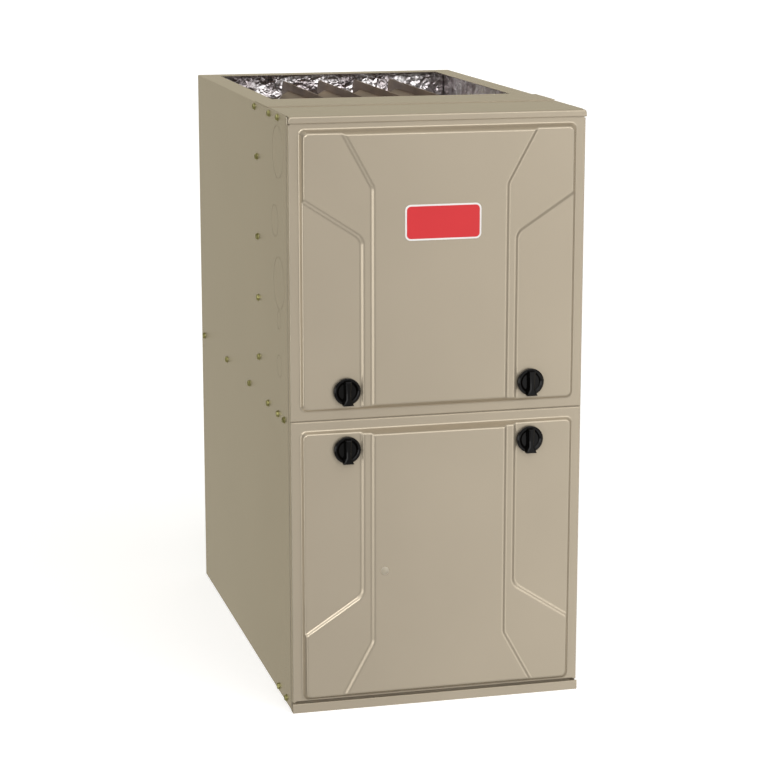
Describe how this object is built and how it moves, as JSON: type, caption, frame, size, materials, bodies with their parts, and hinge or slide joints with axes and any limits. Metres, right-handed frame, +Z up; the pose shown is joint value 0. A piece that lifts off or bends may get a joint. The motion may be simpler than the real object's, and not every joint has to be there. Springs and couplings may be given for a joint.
{
  "type": "upflow gas furnace",
  "caption": "Upflow condensing gas furnace: painted sheet-steel cabinet with embossed access doors on turn knobs, open supply top, blower, burners and heat-exchanger cells inside.",
  "frame": {"origin": "middle of the casing base, on the floor", "axes": "+X to the right across the width, -Y out of the doors, +Z up"},
  "size_m": [0.4512, 0.7574, 0.889],
  "materials": {
    "cabinet_paint": "satin",
    "galvanised": "spangled galvanised",
    "knob_black": "gloss",
    "nylon": "matte",
    "lens": "clear",
    "foil": "crinkled foil",
    "aluminised": "aluminised",
    "stainless": "satin",
    "black_moulding": "moulded",
    "fan_plastic": "moulded",
    "motor_black": "satin",
    "zinc_wheel": "galvanised",
    "pipe_black": "black pipe",
    "die_cast": "die cast",
    "dial_white": "moulded",
    "ceramic_white": "ceramic",
    "switch_brown": "moulded",
    "button_red": "gloss",
    "board_green": "printed board",
    "core_steel": "laminated",
    "switch_black": "moulded",
    "plunger_white": "moulded",
    "yellow_zinc": "yellow zinc"
  },
  "bodies": {
    "cabinet": {"base_rail": "cabinet_paint", "blanket_back": "foil", "blanket_left": "foil", "blanket_right": "foil", "blower_housing": "galvanised", "blower_motor": "motor_black", "blower_shelf": "galvanised", "bottom_closure_panel": "galvanised", "burner_box": "galvanised", "burners": "aluminised", "casing": "cabinet_paint", "casing_screws": "yellow_zinc", "cell_panel": "galvanised", "collector_box": "black_moulding", "condensate_trap": "black_moulding", "control_board": "board_green", "control_plate": "galvanised", "cross_rail": "cabinet_paint", "door_switch": "switch_black", "flame_sensor": "ceramic_white", "gas_manifold": "pipe_black", "gas_valve": "die_cast", "igniter": "ceramic_white", "inducer_housing": "black_moulding", "inducer_motor": "motor_black", "junction_box": "galvanised", "latch_rail": "galvanised", "limit_switch": "switch_brown", "motor_mount": "galvanised", "pressure_switch": "black_moulding", "primary_cell_1": "aluminised", "primary_cell_2": "aluminised", "primary_cell_3": "aluminised", "primary_cell_4": "aluminised", "rollout_switches": "switch_brown", "secondary_exchanger": "stainless", "top_filler_panel": "cabinet_paint", "transformer": "core_steel", "transition_box": "aluminised"},
    "upper_door": {"upper_door": "cabinet_paint", "upper_knob_bushes": "nylon"},
    "lower_door": {"lower_door": "cabinet_paint", "lower_knob_bushes": "nylon", "sight_glass": "lens"},
    "upper_left_knob": {"upper_left_knob": "knob_black"},
    "upper_right_knob": {"upper_right_knob": "knob_black"},
    "lower_left_knob": {"lower_left_knob": "knob_black"},
    "lower_right_knob": {"lower_right_knob": "knob_black"},
    "blower_wheel": {"blower_wheel": "zinc_wheel"},
    "inducer_wheel": {"inducer_wheel": "fan_plastic"},
    "gas_valve_switch": {"gas_valve_switch": "dial_white"},
    "rollout_button_left": {"rollout_button_left": "button_red"},
    "rollout_button_right": {"rollout_button_right": "button_red"},
    "door_switch_plunger": {"door_switch_plunger": "plunger_white"}
  },
  "joints": [
    {"name": "upper_door_tilt", "type": "hinge", "parent": "cabinet", "child": "upper_door", "pos_m": [0, -0.37465, 0.8775], "axis": [-1, 0, 0], "range_deg": [0, 30]},
    {"name": "lower_door_tilt", "type": "hinge", "parent": "cabinet", "child": "lower_door", "pos_m": [0, -0.37465, 0.014], "axis": [1, 0, 0], "range_deg": [0, 30]},
    {"name": "upper_left_knob_turn", "type": "hinge", "parent": "upper_door", "child": "upper_left_knob", "pos_m": [-0.1395, -0.37965, 0.4881], "axis": [0, -1, 0], "range_deg": [0, 90]},
    {"name": "upper_right_knob_turn", "type": "hinge", "parent": "upper_door", "child": "upper_right_knob", "pos_m": [0.1395, -0.37965, 0.4881], "axis": [0, -1, 0], "range_deg": [0, 90]},
    {"name": "lower_left_knob_turn", "type": "hinge", "parent": "lower_door", "child": "lower_left_knob", "pos_m": [-0.1395, -0.37965, 0.4009], "axis": [0, -1, 0], "range_deg": [0, 90]},
    {"name": "lower_right_knob_turn", "type": "hinge", "parent": "lower_door", "child": "lower_right_knob", "pos_m": [0.1395, -0.37965, 0.4009], "axis": [0, -1, 0], "range_deg": [0, 90]},
    {"name": "blower_spin", "type": "hinge", "parent": "cabinet", "child": "blower_wheel", "pos_m": [0, 0.06735, 0.214], "axis": [1, 0, 0], "continuous": true},
    {"name": "inducer_spin", "type": "hinge", "parent": "cabinet", "child": "inducer_wheel", "pos_m": [0.028, -0.22585, 0.566], "axis": [0, 1, 0], "continuous": true},
    {"name": "gas_valve_turn", "type": "hinge", "parent": "cabinet", "child": "gas_valve_switch", "pos_m": [-0.1648, -0.31195, 0.71667], "axis": [0, -1, 0], "range_deg": [0, 90]},
    {"name": "rollout_reset_left", "type": "slide", "parent": "cabinet", "child": "rollout_button_left", "axis": [0, 1, 0], "range_m": [0, 0.002], "stiffness_N_per_m": 300},
    {"name": "rollout_reset_right", "type": "slide", "parent": "cabinet", "child": "rollout_button_right", "axis": [0, 1, 0], "range_m": [0, 0.002], "stiffness_N_per_m": 300},
    {"name": "door_switch_press", "type": "slide", "parent": "cabinet", "child": "door_switch_plunger", "axis": [0, -1, 0], "range_m": [0, 0.0052]}
  ],
  "couplings": [
    {"joint": "door_switch_press", "follows": "lower_door_tilt", "m_per_rad": 0.009549}
  ]
}
